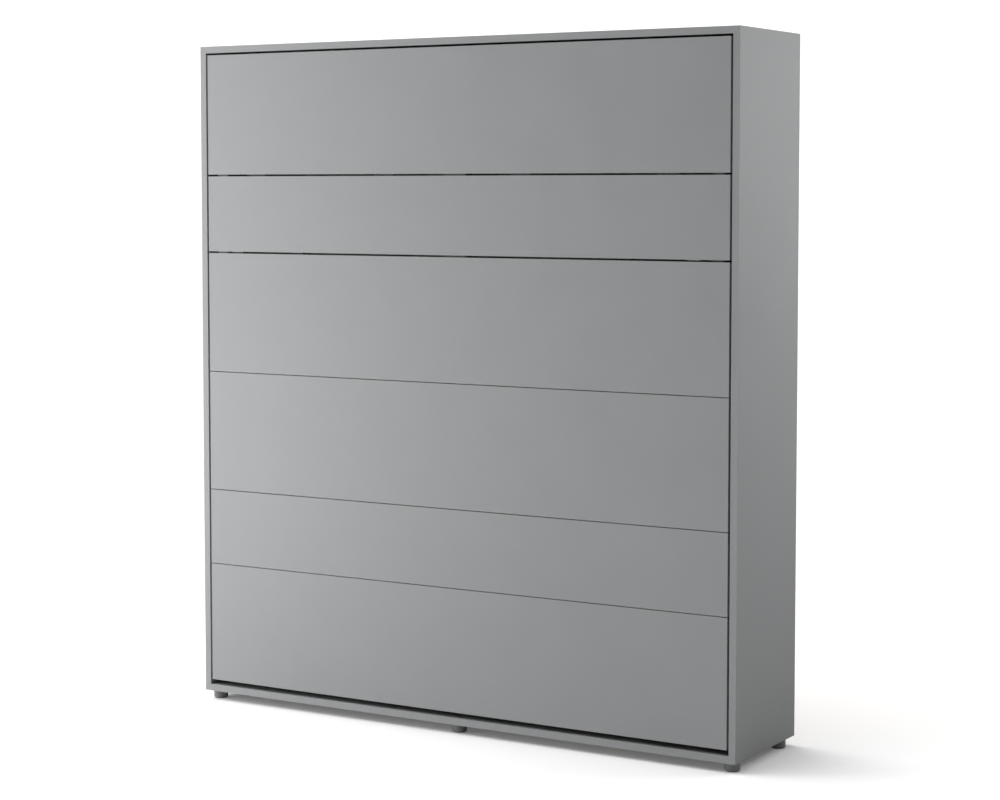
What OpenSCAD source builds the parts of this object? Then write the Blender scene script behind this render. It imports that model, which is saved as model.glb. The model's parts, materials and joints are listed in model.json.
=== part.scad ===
// Vertical wall bed: a cabinet, a bed that folds down out of it on two pivots,
// a fold-out leg that closes flush with the front, and two gas struts.
// Origin: centre of the cabinet's footprint, on the floor. The front faces -Y, +Z is up.
// Inside from_front() Y is counted backwards from the plane of the front panels.

/* [Cabinet] */
// Overall width
cabinet_w = 1954; // [1944:2:1974]
// Overall height with the feet
cabinet_h = 2175; // [2165:1:2190]
// Overall depth
cabinet_d = 425; // [425:5:450]
// Thickness of the cabinet boards
board_t = 22; // [20:1:24]
// Height of the feet
foot_h = 30; // [25:1:35]
// Diameter of the feet
foot_d = 48; // [40:1:50]
// Diameter of the wall fixing holes
wall_hole_d = 9; // [7:0.5:11]

/* [Front] */
// Thickness of the front panels
panel_t = 18; // [16:1:18]
// Gap between the front and the cabinet's sides and top
reveal = 7; // [4:0.5:7]
// Gap between the front and the bottom board
bottom_gap = 17.5; // [15:0.5:18]
// Height of each of the four tall panels
tall_panel_h = 391; // [390:0.2:394]
// Gap between fixed panels
seam = 2.5; // [1:0.5:3]
// Gap above and below the fold-out leg panel
leg_gap = 6; // [4.5:0.5:6]

/* [Bed] */
// Mattress width
mattress_w = 1800; // [1760:10:1800]
// Mattress length
mattress_l = 2000; // [1960:10:2000]
// Mattress thickness
mattress_t = 200; // [160:5:205]
// Side of the square steel tube
tube = 40; // [40:1:42]
// Wall of the steel tube
tube_wall = 2; // [1.5:0.5:3]
// Number of slats in each column
slat_count = 13; // [12:1:16]
// Slat width
slat_w = 60; // [50:5:70]

/* [Pivot and struts] */
// Depth of the bed's pivot behind the front
pivot_y = 82; // [80:1:84]
// Diameter of the pivot pin
pin_d = 16; // [14:1:18]
// Outer diameter of a gas strut's cylinder
cylinder_d = 20; // [18:1:20]
// Diameter of a gas strut's rod
rod_d = 8; // [8:1:10]

/* [Hidden] */
$fn = 48;
eps = 1;                                   // how far a cutter runs past a face
fit = 0.05;                                // radial clearance of a running or screwed fit

// cabinet
half_w = cabinet_w / 2;
inner_x = half_w - board_t;                // inner face of a side panel
floor_z = foot_h + board_t;                // top of the bottom board
ceiling_z = cabinet_h - board_t;           // underside of the top board
back_t = 3;
back_y = cabinet_d - back_t - 1;           // front face of the back panel
rebate = 10;                               // how far the back panel enters the boards
rail_t = 22;
rail_h = 100;
wall_hole_x = 800;
foot_x = half_w - 30;
foot_ys = [44, 369];
foot_rim = 7;                              // radius of a foot's lower edge
cam_ys = [70, 355];

// front panels, from the bottom up
panel_x = inner_x - reveal;
front_z0 = floor_z + bottom_gap;
front_z1 = ceiling_z - reveal;
narrow_panel_h = (front_z1 - front_z0 - 4 * tall_panel_h - 3 * seam - 2 * leg_gap) / 2;
bottom_z1 = front_z0 + tall_panel_h;
narrow_z0 = bottom_z1 + seam;
narrow_z1 = narrow_z0 + narrow_panel_h;
middle_z0 = narrow_z1 + seam;
middle_z1 = middle_z0 + tall_panel_h;
upper_z0 = middle_z1 + seam;
upper_z1 = upper_z0 + tall_panel_h;
leg_z0 = upper_z1 + leg_gap;
leg_z1 = leg_z0 + narrow_panel_h;
top_z0 = leg_z1 + leg_gap;

// leg hinge
knuckle_d = 4;
hinge_pin_d = 2;
leaf_t = 1.2;
leaf_y0 = 4.3;
leaf_y1 = 17;
hinge_l = 70;
hinge_xs = [-750, -250, 250, 750];
knuckle_count = 5;
knuckle_l = hinge_l / knuckle_count;
hinge_y = knuckle_d / 2;
hinge_z = leg_z1 + leg_gap / 2;
glide_t = 2;
glide_w = 42;
glide_x = 831;
catch_x = 600;
catch_w = 40;
strike_t = 1.5;
strike_h = 18;
leg_reach = hinge_z - leg_z0 + glide_t;    // from the leg's hinge to its glides

// bed frame
pivot_z = leg_reach + pivot_y - hinge_y;   // puts the glides on the floor when the bed is down
rail_x = inner_x - 33;                     // outer face of a side rail
beam_w = 80;
frame_y0 = panel_t;
frame_y1 = frame_y0 + tube;
frame_z0 = front_z0 + 12;
frame_z1 = front_z1 - 12;
head_tube_z = frame_z1 - tube / 2;
foot_tube_z = frame_z0 + tube / 2;
leg_tube_upper_z = top_z0 + 10 + tube / 2;
leg_tube_lower_z = leg_z0 - 13 - tube / 2;
seam_zs = [for (z = [narrow_z0, middle_z0, upper_z0]) z - seam / 2];
screw_zs = concat([foot_tube_z, leg_tube_lower_z, leg_tube_upper_z, head_tube_z],
                  [for (z = seam_zs, dz = [-10, 10]) z + dz]);
screw_xs = [150, 500, 820];
panel_screw_d = 5;

// slats and mattress
slat_t = 8;
slat_x0 = 30;
slat_x1 = rail_x - 20;
slat_y0 = frame_y1 + 4;
holder_y1 = slat_y0 + slat_t + 3;
mattress_y0 = holder_y1 + 1;
mattress_y1 = mattress_y0 + mattress_t;
mattress_z0 = frame_z0 + 15;
slat_end_space = 90;                       // from the mattress's end to the last slat's centre
slat_pitch = (mattress_l - 2 * slat_end_space) / (slat_count - 1);
slat_zs = [for (i = [0 : slat_count - 1]) mattress_z0 + slat_end_space + i * slat_pitch];
strap_zs = [for (i = [2, slat_count - 4]) slat_zs[i] + slat_pitch / 2];  // between two slats
strap_w = 40;
strap_t = 2;
buckle_x = 300;

// pivot
pivot_plate_t = 5;
bed_plate_x1 = rail_x + pivot_plate_t;
cabinet_plate_t = 4;
cabinet_plate_x0 = inner_x - cabinet_plate_t;
bush_wall = 2;
boss_d = pin_d + 14;
bush_flange_t = 1.5;
boss_x1 = cabinet_plate_x0 - bush_flange_t - 0.5;

// closing stops
stop_y = frame_y1 + 4;
stop_z = [front_z1 - 105, front_z1 - 65];
stop_x = rail_x - 10;

// struts: the upper eye is on the cabinet, the lower one on the bed's pivot plate
strut_x = (bed_plate_x1 + cabinet_plate_x0) / 2;
strut_top = [172, 900];
strut_arm = [50, -87];                     // lower eye from the pivot, bed folded up
strut_bottom = [pivot_y, pivot_z] + strut_arm;
strut_bottom_open = [pivot_y - strut_arm[1], pivot_z + strut_arm[0]];
strut_len_closed = norm(strut_top - strut_bottom);
strut_len_open = norm(strut_top - strut_bottom_open);
strut_tilt = -asin((strut_top - strut_bottom)[0] / strut_len_closed);
eye_d = 20;
eye_w = 10;
stud_d = 8;
neck = 18;                                 // from an eye's centre to the strut's end cap
neck_d = 8;
cylinder_l = strut_len_open - 2 * neck - 26;
cylinder_wall = 1.5;
guide_l = 15;
piston_l = 15;

// colours
laminate = [0.66, 0.67, 0.67];
steel_paint = [0.72, 0.73, 0.74];
zinc = [0.78, 0.79, 0.80];
dark_plastic = [0.30, 0.30, 0.31];
birch = [0.80, 0.66, 0.46];
ticking = [0.93, 0.92, 0.89];
webbing = [0.16, 0.16, 0.17];
satin_black = [0.08, 0.08, 0.09];
black_steel = [0.13, 0.13, 0.14];
hardboard = [0.88, 0.88, 0.87];

// ---------- helpers ----------

module from_front() translate([0, -cabinet_d / 2, 0]) children();

module both_sides() {
  children();
  mirror([1, 0, 0]) children();
}

// side = -1 is the left side seen from the front, 1 is the right side
module on_side(side) {
  if (side > 0) children();
  else mirror([1, 0, 0]) children();
}

module block(x, y, z) translate([x[0], y[0], z[0]]) cube([x[1] - x[0], y[1] - y[0], z[1] - z[0]]);

module bar_x(d, x0, x1, y, z) translate([x0, y, z]) rotate([0, 90, 0]) cylinder(d = d, h = x1 - x0);

module bar_y(d, x, y0, y1, z) translate([x, y0, z]) rotate([-90, 0, 0]) cylinder(d = d, h = y1 - y0);

module bar_z(d, x, y, z0, z1) translate([x, y, z0]) cylinder(d = d, h = z1 - z0);

module tube_x(x0, x1, zc) {
  difference() {
    block([x0, x1], [frame_y0, frame_y1], [zc - tube / 2, zc + tube / 2]);
    block([x0 - eps, x1 + eps], [frame_y0 + tube_wall, frame_y1 - tube_wall],
          [zc - tube / 2 + tube_wall, zc + tube / 2 - tube_wall]);
  }
}

module tube_z(x0, x1) {
  difference() {
    block([x0, x1], [frame_y0, frame_y1], [frame_z0, frame_z1]);
    block([x0 + tube_wall, x1 - tube_wall], [frame_y0 + tube_wall, frame_y1 - tube_wall],
          [frame_z0 - eps, frame_z1 + eps]);
  }
}

// a flat rectangle with round corners, centred, with true arcs
module round_rect(w, h, r) {
  square([w - 2 * r, h], center = true);
  square([w, h - 2 * r], center = true);
  for (x = [-1, 1], y = [-1, 1])
    translate([x * (w / 2 - r), y * (h / 2 - r)]) circle(r = r);
}

// a plate that lies across X, with its round-cornered outline in Y and Z
module plate_x(x0, x1, y, z, w, h, r)
  translate([x0, y, z]) rotate([90, 0, 90]) linear_extrude(x1 - x0) round_rect(w, h, r);

// a countersunk screw along +X, its flat head ending at x1
module flush_screw_x(d, x0, x1, y, z, gap = 0) {
  bar_x(d + 2 * gap, x0, x1, y, z);
  translate([x1 - d / 2 - gap, y, z]) rotate([0, 90, 0])
    cylinder(d1 = d + 2 * gap, d2 = 2 * d + 4 * gap, h = d / 2 + gap);
}

// ---------- cabinet ----------

module back_rebate()
  block([-inner_x - rebate, inner_x + rebate], [back_y, cabinet_d + eps],
        [floor_z - rebate, ceiling_z + rebate]);

module wall_holes()
  for (x = [-wall_hole_x, wall_hole_x], z = [floor_z + rail_h / 2, ceiling_z - rail_h / 2])
    bar_y(wall_hole_d, x, back_y - rail_t - eps, cabinet_d + eps, z);

module cam_fitting_shapes(gap) {
  cam_d = 15;
  cam_depth = 12.5;
  cam_inset = 34;
  bolt_d = 6;
  bolt_grip = 11;
  both_sides() for (y = cam_ys) {
    bar_x(cam_d + 2 * gap, inner_x - gap, inner_x + cam_depth + gap, y, ceiling_z - cam_inset);
    bar_x(cam_d + 2 * gap, inner_x - gap, inner_x + cam_depth + gap, y, floor_z + cam_inset);
    bar_z(bolt_d + 2 * gap, inner_x + board_t / 2, y, ceiling_z - cam_inset,
          ceiling_z + bolt_grip + gap);
    bar_z(bolt_d + 2 * gap, inner_x + board_t / 2, y, floor_z - bolt_grip - gap,
          floor_z + cam_inset);
  }
}

module side_panel(side) color(laminate) from_front() difference() {
  on_side(side) block([inner_x, half_w], [0, cabinet_d], [floor_z, ceiling_z]);
  back_rebate();
  cam_fitting_shapes(fit);
  on_side(side) cabinet_screw_shapes(fit);
  on_side(side) strut_screw_shapes(fit);
}

module top_panel() color(laminate) from_front() difference() {
  block([-half_w, half_w], [0, cabinet_d], [ceiling_z, cabinet_h]);
  back_rebate();
  cam_fitting_shapes(fit);
}

module bottom_panel() color(laminate) from_front() difference() {
  block([-half_w, half_w], [0, cabinet_d], [foot_h, floor_z]);
  back_rebate();
  cam_fitting_shapes(fit);
  foot_screw_shapes(fit);
}

module back_panel(side) color(hardboard) from_front() difference() {
  on_side(side) block([1, inner_x + rebate - 0.5], [back_y, back_y + back_t],
                      [floor_z - rebate + 0.5, ceiling_z + rebate - 0.5]);
  wall_holes();
}

// H profile that joins the two halves of the back
module back_joint_strip() color(hardboard) from_front() {
  strip_z = [floor_z + rail_h, ceiling_z - rail_h];
  block([-10, 10], [back_y - 1, back_y], strip_z);
  block([-0.9, 0.9], [back_y - 0.5, back_y + back_t + 0.5], strip_z);
  block([-10, 10], [back_y + back_t, back_y + back_t + 1], strip_z);
}

module wall_rail(z0) color(laminate) from_front() difference() {
  block([-inner_x, inner_x], [back_y - rail_t, back_y], [z0, z0 + rail_h]);
  wall_holes();
}

module top_rail() wall_rail(ceiling_z - rail_h);

module bottom_rail() wall_rail(floor_z);

module at_feet() for (x = [-foot_x, 0, foot_x], y = foot_ys) translate([x, y, 0]) children();

module foot_screw_shapes(gap) at_feet() {
  bar_z(4 + 2 * gap, 0, 0, 8, foot_h + 14 + gap);
  bar_z(9 + 2 * gap, 0, 0, 8 - gap, 11);
}

module cabinet_feet() color(dark_plastic) from_front() difference() {
  at_feet() rotate_extrude() {
    flat_r = foot_d / 2 - foot_rim;
    square([flat_r, foot_h]);
    translate([0, foot_rim]) square([foot_d / 2, foot_h - foot_rim]);
    translate([flat_r, foot_rim]) circle(r = foot_rim);
  }
  at_feet() bar_z(11, 0, 0, -eps, 8);
  foot_screw_shapes(fit);
}

module foot_screws() color(zinc) from_front() foot_screw_shapes(0);

module cam_fittings() color(zinc) from_front() cam_fitting_shapes(0);

module cabinet_screw_shapes(gap)
  for (y = [-28, 28], z = [-95, 0, 95])
    mirror([1, 0, 0]) flush_screw_x(5, -inner_x - 14 - gap, -cabinet_plate_x0, pivot_y + y,
                                    pivot_z + z, gap);

module cabinet_pivot_plates() color(steel_paint) from_front() both_sides() difference() {
  plate_x(cabinet_plate_x0, inner_x, pivot_y, pivot_z, 84, 230, 10);
  bar_x(pin_d + 2 * fit, cabinet_plate_x0 - eps, inner_x + eps, pivot_y, pivot_z);
  cabinet_screw_shapes(fit);
}

module cabinet_plate_screws() color(zinc) from_front() both_sides() cabinet_screw_shapes(0);

module pivot_pins() color(zinc) from_front() both_sides()
  bar_x(pin_d, rail_x + 1, inner_x, pivot_y, pivot_z);

module strut_screw_shapes(gap)
  for (z = [-22, 22])
    mirror([1, 0, 0]) flush_screw_x(5, -inner_x - 14 - gap, -inner_x + 3, strut_top[0],
                                    strut_top[1] + z, gap);

// upper strut bracket: a plate on the side panel with a headed stud
module strut_brackets() color(steel_paint) from_front() both_sides() {
  difference() {
    plate_x(inner_x - 3, inner_x, strut_top[0], strut_top[1], 34, 64, 8);
    strut_screw_shapes(fit);
  }
  bar_x(stud_d, strut_x - eye_w / 2 - 2.5, inner_x - 2, strut_top[0], strut_top[1]);
  bar_x(stud_d + 4, strut_x - eye_w / 2 - 2.5, strut_x - eye_w / 2 - 0.5,
        strut_top[0], strut_top[1]);
  bar_x(stud_d + 6, strut_x + eye_w / 2 + 0.5, inner_x - 2, strut_top[0], strut_top[1]);
}

module strut_bracket_screws() color(zinc) from_front() both_sides() strut_screw_shapes(0);

// angle brackets that the closed bed's rails come to rest on
module closing_stops() color(steel_paint) from_front() both_sides() {
  block([inner_x - 3, inner_x], [stop_y, stop_y + 40], stop_z);
  block([rail_x - 20, inner_x - 1], [stop_y, stop_y + 3], stop_z);
}

module stop_buffers() color(satin_black) from_front() both_sides()
  bar_y(14, stop_x, frame_y1 + 0.5, stop_y, (stop_z[0] + stop_z[1]) / 2);

// ---------- front ----------

module panel_screw_shapes(gap) both_sides() for (x = screw_xs, z = screw_zs) {
  bar_y(panel_screw_d + 2 * gap, x, panel_t - 6 - gap, frame_y1 + eps, z);
  bar_y(2 * panel_screw_d, x, frame_y1 + gap, frame_y1 + 3, z);
}

module panel_board(z0, z1) color(laminate) from_front() difference() {
  block([-panel_x, panel_x], [0, panel_t], [z0, z1]);
  panel_screw_shapes(fit);
}

module front_panel_top() panel_board(top_z0, front_z1);

module front_panel_upper() panel_board(upper_z0, upper_z1);

module front_panel_middle() panel_board(middle_z0, middle_z1);

module front_panel_narrow() panel_board(narrow_z0, narrow_z1);

module front_panel_bottom() panel_board(front_z0, bottom_z1);

// ---------- bed frame ----------

module plate_bolt_shapes(gap)
  for (z = [-95, -50, 50, 95])
    flush_screw_x(8, rail_x - tube - 2, bed_plate_x1, frame_y0 + tube / 2, pivot_z + z, gap);

module side_rail(side) color(steel_paint) from_front() difference() {
  on_side(side) tube_z(rail_x - tube, rail_x);
  on_side(side) plate_bolt_shapes(fit);
}

module centre_beam() color(steel_paint) from_front() tube_z(-beam_w / 2, beam_w / 2);

// two tubes on one line, one on each side of the centre beam
module cross_tubes(zc) color(steel_paint) from_front() difference() {
  both_sides() tube_x(beam_w / 2, rail_x - tube, zc);
  panel_screw_shapes(fit);
}

module head_tubes() cross_tubes(head_tube_z);

module leg_tubes_upper() cross_tubes(leg_tube_upper_z);

module leg_tubes_lower() cross_tubes(leg_tube_lower_z);

module seam_tubes_upper() cross_tubes(seam_zs[2]);

module seam_tubes_middle() cross_tubes(seam_zs[1]);

module seam_tubes_lower() cross_tubes(seam_zs[0]);

module foot_tubes() cross_tubes(foot_tube_z);

// plugs in the open ends of the rails and of the centre beam
module tube_end_caps() color(dark_plastic) from_front()
  for (end = [[frame_z0, 1], [frame_z1, -1]], x = [[-beam_w / 2, beam_w / 2],
       [rail_x - tube, rail_x], [-rail_x, -rail_x + tube]]) {
    outer = [min(end[0], end[0] - 3 * end[1]), max(end[0], end[0] - 3 * end[1])];
    inner = [min(end[0], end[0] + 12 * end[1]), max(end[0], end[0] + 12 * end[1])];
    block([x[0] + 0.5, x[1] - 0.5], [frame_y0 + 0.5, frame_y1 - 0.5], outer);
    block([x[0] + tube_wall + fit, x[1] - tube_wall - fit],
          [frame_y0 + tube_wall + fit, frame_y1 - tube_wall - fit], inner);
  }

module panel_screws() color(zinc) from_front() difference() {
  panel_screw_shapes(0);
  both_sides() for (x = screw_xs, z = screw_zs) bar_y(3, x, frame_y1 + 2, frame_y1 + 4, z);
}

module slats(side) color(birch) from_front() on_side(side) for (z = slat_zs)
  block([slat_x0, slat_x1], [slat_y0, slat_y0 + slat_t], [z - slat_w / 2, z + slat_w / 2]);

// moulded pockets that hold the slats' ends
module slat_holders() color(dark_plastic) from_front() both_sides()
  for (x = [[slat_x0 - 20, slat_x0 + 8], [slat_x1 - 28, slat_x1 + 8]], z = slat_zs) difference() {
    block(x, [frame_y1, holder_y1], [z - slat_w / 2 - 4, z + slat_w / 2 + 4]);
    block([slat_x0 - 0.5, slat_x1 + 0.5], [slat_y0 - 0.2, slat_y0 + slat_t + 0.2],
          [z - slat_w / 2 - 0.5, z + slat_w / 2 + 0.5]);
  }

module mattress() color(ticking) from_front()
  translate([0, mattress_y1, mattress_z0 + mattress_l / 2]) rotate([90, 0, 0])
    linear_extrude(mattress_t) round_rect(mattress_w, mattress_l, 40);

// a strap runs from one side rail, over the mattress, to the other side rail
module mattress_straps() color(webbing) from_front() for (z = strap_zs) {
  zs = [z - strap_w / 2, z + strap_w / 2];
  strap_x = mattress_w / 2 + 1.5 + strap_t;
  strap_y = mattress_y1 + 1 + strap_t;
  block([-strap_x, strap_x], [strap_y - strap_t, strap_y], zs);
  both_sides() {
    block([strap_x - strap_t, strap_x], [frame_y1, strap_y], zs);
    block([rail_x - 36, strap_x], [frame_y1, frame_y1 + strap_t], zs);
  }
}

// ladder buckles, one on each strap
module strap_buckles() color(dark_plastic) from_front() for (z = strap_zs) {
  buckle_y = mattress_y1 + 1 + strap_t;
  difference() {
    block([buckle_x - 30, buckle_x + 30], [buckle_y, buckle_y + 5],
          [z - strap_w / 2 - 6, z + strap_w / 2 + 6]);
    for (x = [-15, 15])
      block([buckle_x + x - 5, buckle_x + x + 5], [buckle_y + 1.5, buckle_y + 5 + eps],
            [z - strap_w / 2, z + strap_w / 2]);
  }
}

// angles on the foot tubes that carry the upright mattress
module mattress_stops() color(steel_paint) from_front() both_sides() {
  block([300, 460], [frame_y1, frame_y1 + 3], [mattress_z0 - 6, mattress_z0 + 20]);
  block([300, 460], [frame_y1, mattress_y0 + 80], [mattress_z0 - 6, mattress_z0 - 3]);
}

// ---------- bed pivot ----------

module bed_pivot_plates() color(steel_paint) from_front() both_sides() difference() {
  union() {
    plate_x(rail_x, bed_plate_x1, pivot_y + 2, pivot_z, 128, 236, 12);
    bar_x(boss_d, bed_plate_x1 - 1, boss_x1, pivot_y, pivot_z);
  }
  bar_x(pin_d + 2 * bush_wall + 2 * fit, rail_x - eps, boss_x1 + eps, pivot_y, pivot_z);
  plate_bolt_shapes(fit);
}

module pivot_bushes() color(dark_plastic) from_front() both_sides() difference() {
  union() {
    bar_x(pin_d + 2 * bush_wall, rail_x, boss_x1 + 0.5, pivot_y, pivot_z);
    bar_x(boss_d - 2, boss_x1, boss_x1 + bush_flange_t, pivot_y, pivot_z);
  }
  bar_x(pin_d + 2 * fit, rail_x - eps, boss_x1 + bush_flange_t + eps, pivot_y, pivot_z);
}

module bed_plate_bolts() color(zinc) from_front() both_sides() {
  plate_bolt_shapes(0);
  for (z = [-95, -50, 50, 95])
    translate([rail_x - tube - 7, frame_y0 + tube / 2, pivot_z + z]) rotate([0, 90, 0])
      cylinder(d = 15, h = 7 - fit, $fn = 6);
}

// ---------- fold-out leg ----------

// one leaf of each hinge; up = 1 is on the panel above, up = -1 is on the leg
module hinge_leaves(up) {
  first = up > 0 ? 0 : 1;
  edge = leg_gap / 2;
  leaf_z = up > 0 ? [edge - leaf_t, edge] : [-edge, leaf_t - edge];
  for (x = hinge_xs) translate([x - hinge_l / 2, 0, hinge_z]) difference() {
    union() {
      block([0, hinge_l], [leaf_y0, leaf_y1], leaf_z);
      for (i = [first : 2 : knuckle_count - 1]) {
        xs = [i * knuckle_l + 0.1, (i + 1) * knuckle_l - 0.1];
        bar_x(knuckle_d, xs[0], xs[1], hinge_y, 0);
        block(xs, [hinge_y, leaf_y0 + 1], leaf_z);
      }
    }
    bar_x(hinge_pin_d + 2 * fit, -eps, hinge_l + eps, hinge_y, 0);
  }
}

module leg_hinge_leaves_fixed() color(black_steel) from_front() hinge_leaves(1);

module leg_hinge_leaves_moving() color(black_steel) from_front() hinge_leaves(-1);

module leg_hinge_pins() color(black_steel) from_front() for (x = hinge_xs)
  bar_x(hinge_pin_d, x - hinge_l / 2, x + hinge_l / 2, hinge_y, hinge_z);

module strike_shapes(gap) for (x = [-catch_x, catch_x])
  block([x - catch_w / 2 - gap, x + catch_w / 2 + gap], [panel_t - strike_t - gap, panel_t],
        [leg_z0 + 4 - gap, leg_z0 + 4 + strike_h + gap]);

module leg_panel() color(laminate) from_front() difference() {
  block([-panel_x, panel_x], [0, panel_t], [leg_z0, leg_z1]);
  translate([0, 0.01, 0]) strike_shapes(fit);
}

module strike_plates() color(zinc) from_front() strike_shapes(0);

// strips on the leg's free edge that stand on the floor
module leg_glides() color(steel_paint) from_front() for (x = [-glide_x, glide_x])
  block([x - glide_w / 2, x + glide_w / 2], [2, panel_t - 2], [leg_z0 - glide_t, leg_z0]);

// magnetic catches that hold the leg flush
module leg_catches() color(dark_plastic) from_front() for (x = [-catch_x, catch_x]) {
  tube_top = leg_tube_lower_z + tube / 2;
  block([x - catch_w / 2, x + catch_w / 2], [panel_t + 1, panel_t + 15],
        [tube_top, leg_z0 + 4 + strike_h]);
}

// ---------- gas struts ----------

// the strut's own frame: origin at the upper eye, the strut hanging along -Z
module at_strut(side)
  from_front() translate([side * strut_x, strut_top[0], strut_top[1]])
    rotate([strut_tilt, 0, 0]) children();

module strut_eye(z) bar_x(eye_d, -eye_w / 2, eye_w / 2, 0, z);

module strut_cylinder(side) color(satin_black) at_strut(side) difference() {
  union() {
    strut_eye(0);
    bar_z(neck_d, 0, 0, -neck - 1, 0);
    bar_z(cylinder_d, 0, 0, -neck - cylinder_l, -neck);
  }
  bar_x(stud_d + 2 * fit, -eye_w, eye_w, 0, 0);
  bar_z(cylinder_d - 2 * cylinder_wall, 0, 0, -neck - cylinder_l - eps, -neck - 6);
}

module strut_guide(side) color(dark_plastic) at_strut(side) difference() {
  bar_z(cylinder_d - 2 * cylinder_wall - 2 * fit, 0, 0, -neck - cylinder_l,
        -neck - cylinder_l + guide_l);
  bar_z(rod_d + 2 * fit, 0, 0, -neck - cylinder_l - eps, -neck - cylinder_l + guide_l + eps);
}

// rod with its piston above, and below it the eye and the stud that reaches to the bed
module strut_rod(side) color(zinc) at_strut(side) {
  piston_z = -neck - cylinder_l + guide_l + 30;
  end_z = -strut_len_closed;
  stud_x = [bed_plate_x1 + 1 - strut_x, eye_w / 2 + 2];
  bar_z(rod_d, 0, 0, end_z + neck, piston_z + piston_l);
  bar_z(cylinder_d - 2 * cylinder_wall - 0.2, 0, 0, piston_z, piston_z + piston_l);
  bar_z(12, 0, 0, end_z + neck - 6, end_z + neck + 8);
  bar_z(neck_d, 0, 0, end_z, end_z + neck);
  strut_eye(end_z);
  bar_x(stud_d, min(side * stud_x), max(side * stud_x), 0, end_z);
}

side_panel(-1);  // side_panel_left
side_panel(1);  // side_panel_right
top_panel();
bottom_panel();
back_panel(-1);  // back_panel_left
back_panel(1);  // back_panel_right
back_joint_strip();
top_rail();
bottom_rail();
cabinet_feet();
foot_screws();
cam_fittings();
cabinet_pivot_plates();
pivot_pins();
cabinet_plate_screws();
strut_brackets();
strut_bracket_screws();
closing_stops();
stop_buffers();
front_panel_top();
front_panel_upper();
front_panel_middle();
front_panel_narrow();
front_panel_bottom();
side_rail(-1);  // side_rail_left
side_rail(1);  // side_rail_right
centre_beam();
head_tubes();
leg_tubes_upper();
leg_tubes_lower();
seam_tubes_upper();
seam_tubes_middle();
seam_tubes_lower();
foot_tubes();
tube_end_caps();
panel_screws();
slats(-1);  // slats_left
slats(1);  // slats_right
slat_holders();
mattress();
mattress_straps();
strap_buckles();
mattress_stops();
bed_pivot_plates();
pivot_bushes();
bed_plate_bolts();
leg_hinge_leaves_fixed();
leg_hinge_pins();
leg_catches();
leg_panel();
leg_hinge_leaves_moving();
leg_glides();
strike_plates();
strut_cylinder(-1);  // strut_cylinder_left
strut_guide(-1);  // strut_guide_left
strut_rod(-1);  // strut_rod_left
strut_cylinder(1);  // strut_cylinder_right
strut_guide(1);  // strut_guide_right
strut_rod(1);  // strut_rod_right
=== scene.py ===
"""Looks of the vertical wall bed: materials, soft goods, small hardware, light and camera.

Everything is in metres in the row frame: +Z up, the front faces -Y, X = 0 is the middle.
"""

import json
import math

import bmesh
import bpy
from mathutils import Matrix, Vector
from mathutils.bvhtree import BVHTree


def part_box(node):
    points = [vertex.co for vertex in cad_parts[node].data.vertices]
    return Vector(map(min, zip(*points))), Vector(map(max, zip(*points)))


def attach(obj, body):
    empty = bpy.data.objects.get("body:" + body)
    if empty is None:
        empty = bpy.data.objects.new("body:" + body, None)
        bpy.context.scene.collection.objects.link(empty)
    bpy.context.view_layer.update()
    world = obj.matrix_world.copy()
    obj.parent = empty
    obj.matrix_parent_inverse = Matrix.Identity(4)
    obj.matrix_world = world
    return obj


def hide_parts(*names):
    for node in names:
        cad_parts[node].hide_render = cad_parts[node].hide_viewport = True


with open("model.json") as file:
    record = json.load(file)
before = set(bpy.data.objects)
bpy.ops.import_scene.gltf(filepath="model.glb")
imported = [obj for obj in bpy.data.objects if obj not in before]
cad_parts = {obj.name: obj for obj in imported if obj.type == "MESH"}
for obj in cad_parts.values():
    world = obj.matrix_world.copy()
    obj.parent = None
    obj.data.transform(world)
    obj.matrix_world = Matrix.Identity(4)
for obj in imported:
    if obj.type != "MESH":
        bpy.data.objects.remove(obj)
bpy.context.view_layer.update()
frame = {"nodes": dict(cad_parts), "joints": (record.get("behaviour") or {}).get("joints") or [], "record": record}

MM = 0.001
SCENE = bpy.context.scene
NODE_SLOTS = {part["node"]: part["material_slot"] for part in frame["record"]["subparts"]}

# The mattress cover's grid and its quilting share one step, so each quilting line runs through grid points.
COVER_COUNT_X, COVER_COUNT_Z = 72, 80
COVER_SIDE, COVER_FACE = 6 * MM, 7 * MM
QUILT_STEPS = 8
MATTRESS_LOW, MATTRESS_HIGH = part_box("mattress")
COVER_STEP = (MATTRESS_HIGH.x - MATTRESS_LOW.x - 2 * COVER_SIDE) / COVER_COUNT_X
COVER_END = (MATTRESS_HIGH.z - MATTRESS_LOW.z - COVER_COUNT_Z * COVER_STEP) / 2
COVER_INSET = Vector((COVER_SIDE, COVER_FACE, COVER_END))
QUILT_PITCH = QUILT_STEPS * COVER_STEP
QUILT_START = MATTRESS_LOW.z + COVER_INSET.z

STRAPS_LOW, STRAPS_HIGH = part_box("mattress_straps")
STRAP_WIDTH = 40 * MM
STRAP_ZS = (STRAPS_LOW.z + STRAP_WIDTH / 2, STRAPS_HIGH.z - STRAP_WIDTH / 2)


# ---------------------------------------------------------------- node helpers

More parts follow.
